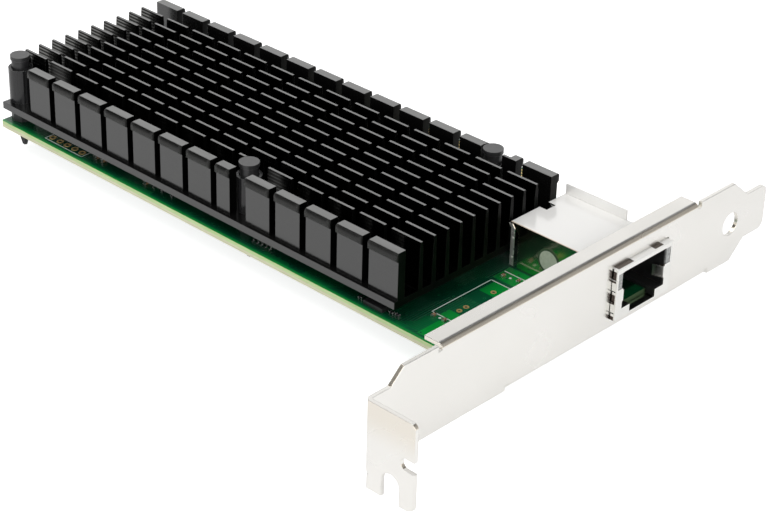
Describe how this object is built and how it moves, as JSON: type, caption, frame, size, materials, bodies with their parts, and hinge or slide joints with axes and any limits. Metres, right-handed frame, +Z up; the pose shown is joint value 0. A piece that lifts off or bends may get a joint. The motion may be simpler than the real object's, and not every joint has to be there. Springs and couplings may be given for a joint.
{
  "type": "network interface card",
  "caption": "Network interface card: green board under a long black cross-cut heatsink on push pins, shielded network socket, plug-in edge and folded slot bracket.",
  "frame": {"origin": "middle of the outline on the ground, the card lying flat with its parts up", "axes": "+X along the bracket from its screw flange to its tongue and to the plug-in edge, +Y from the bracket into the card, +Z up"},
  "size_m": [0.12, 0.1612, 0.0231],
  "materials": {
    "bracket_steel": "zinc plated",
    "screw_steel": "zinc plated",
    "board_green": "solder mask",
    "gold": "gold plated",
    "heatsink_black": "black anodised",
    "pin_plastic": "matte",
    "sleeve_black": "black",
    "spring_steel": "bare",
    "chip_carrier": "matte",
    "lid_metal": "nickel plated",
    "pad_grey": "soft",
    "chip_black": "matte",
    "tin": "tinned",
    "coil_grey": "matte",
    "capacitor_tan": "matte",
    "shield_plate": "bright plated",
    "housing_black": "matte",
    "pipe_clear": "clear",
    "sticker_green": "matte"
  },
  "bodies": {
    "root": {"bracket": "bracket_steel", "bracket_posts": "bracket_steel", "bracket_screws": "screw_steel", "circuit_board": "board_green", "edge_contacts_top": "gold", "edge_contacts_low": "gold", "heatsink": "heatsink_black", "push_pins": "pin_plastic", "pin_sleeves": "sleeve_black", "pin_springs": "spring_steel", "pin_spacers": "pin_plastic", "chip_carrier": "chip_carrier", "chip_lid": "lid_metal", "thermal_pad": "pad_grey", "memory_chip": "chip_black", "memory_chip_leads": "tin", "crystal": "lid_metal", "power_coils": "coil_grey", "regulators": "chip_black", "capacitors": "capacitor_tan", "resistors": "chip_black", "socket_shield": "shield_plate", "socket_housing": "housing_black", "socket_wires": "gold", "socket_magnetics": "housing_black", "socket_pins": "tin", "light_pipe_left": "pipe_clear", "light_pipe_right": "pipe_clear", "round_sticker": "sticker_green"}
  },
  "joints": []
}
